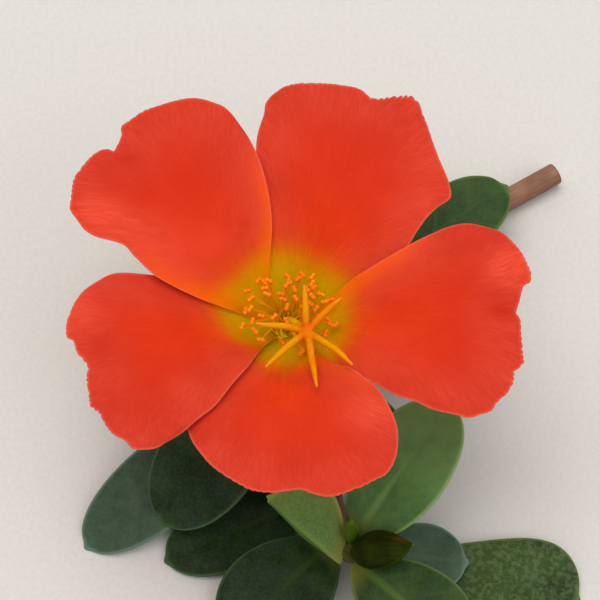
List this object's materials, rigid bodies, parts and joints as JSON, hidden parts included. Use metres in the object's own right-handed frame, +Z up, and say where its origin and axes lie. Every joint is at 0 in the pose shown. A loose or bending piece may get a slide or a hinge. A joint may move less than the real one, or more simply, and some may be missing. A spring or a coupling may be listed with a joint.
{
  "type": "portulaca sprig",
  "caption": "Picked garden portulaca sprig lying down: open orange-red flower with yellow eye and star stigma, leaning bud shoot, fleshy oval leaves and a cut trailing stem.",
  "frame": {"origin": "middle of the sprig's footprint, on the surface it lies on", "axes": "+Z up, along the open flower's axis; +Y away from the bud shoot, along the sprig's longest extent; +X to the right as the flower is seen with its bud shoot in front"},
  "size_m": [0.051, 0.0596, 0.0271],
  "materials": {
    "petal": "satin",
    "pistil": "satin",
    "stamen": "matte",
    "sepal": "satin",
    "leaf": "satin",
    "stem": "satin"
  },
  "bodies": {
    "root": {"petal_top_left": "petal", "petal_top": "petal", "petal_right": "petal", "petal_bottom": "petal", "petal_left": "petal", "receptacle": "sepal", "pistil": "pistil", "stamen_01": "stamen", "stamen_02": "stamen", "stamen_03": "stamen", "stamen_04": "stamen", "stamen_05": "stamen", "stamen_06": "stamen", "stamen_07": "stamen", "stamen_08": "stamen", "stamen_09": "stamen", "stamen_10": "stamen", "stamen_11": "stamen", "stamen_12": "stamen", "stamen_13": "stamen", "stamen_14": "stamen", "stamen_15": "stamen", "stamen_16": "stamen", "stamen_17": "stamen", "stamen_18": "stamen", "stamen_19": "stamen", "stamen_20": "stamen", "stamen_21": "stamen", "stamen_22": "stamen", "stamen_23": "stamen", "stamen_24": "stamen", "stamen_25": "stamen", "stamen_26": "stamen", "stamen_27": "stamen", "stamen_28": "stamen", "stamen_29": "stamen", "sepal_front": "sepal", "sepal_back": "sepal", "main_stem": "stem", "bud_stem": "stem", "bud_sepal_upper": "sepal", "bud_sepal_lower": "sepal", "bud_young": "sepal", "whorl_leaf_1": "leaf", "whorl_leaf_2": "leaf", "whorl_leaf_3": "leaf", "whorl_leaf_4": "leaf", "whorl_leaf_5": "leaf", "whorl_leaf_6": "leaf", "lower_leaf": "leaf", "bud_leaf_folded": "leaf", "bud_leaf_upright": "leaf", "bud_leaf_low": "leaf", "bud_leaf_front": "leaf", "bud_leaf_right": "leaf", "bud_leaf_left": "leaf", "side_leaf": "leaf", "stem_leaf": "leaf"}
  },
  "joints": []
}
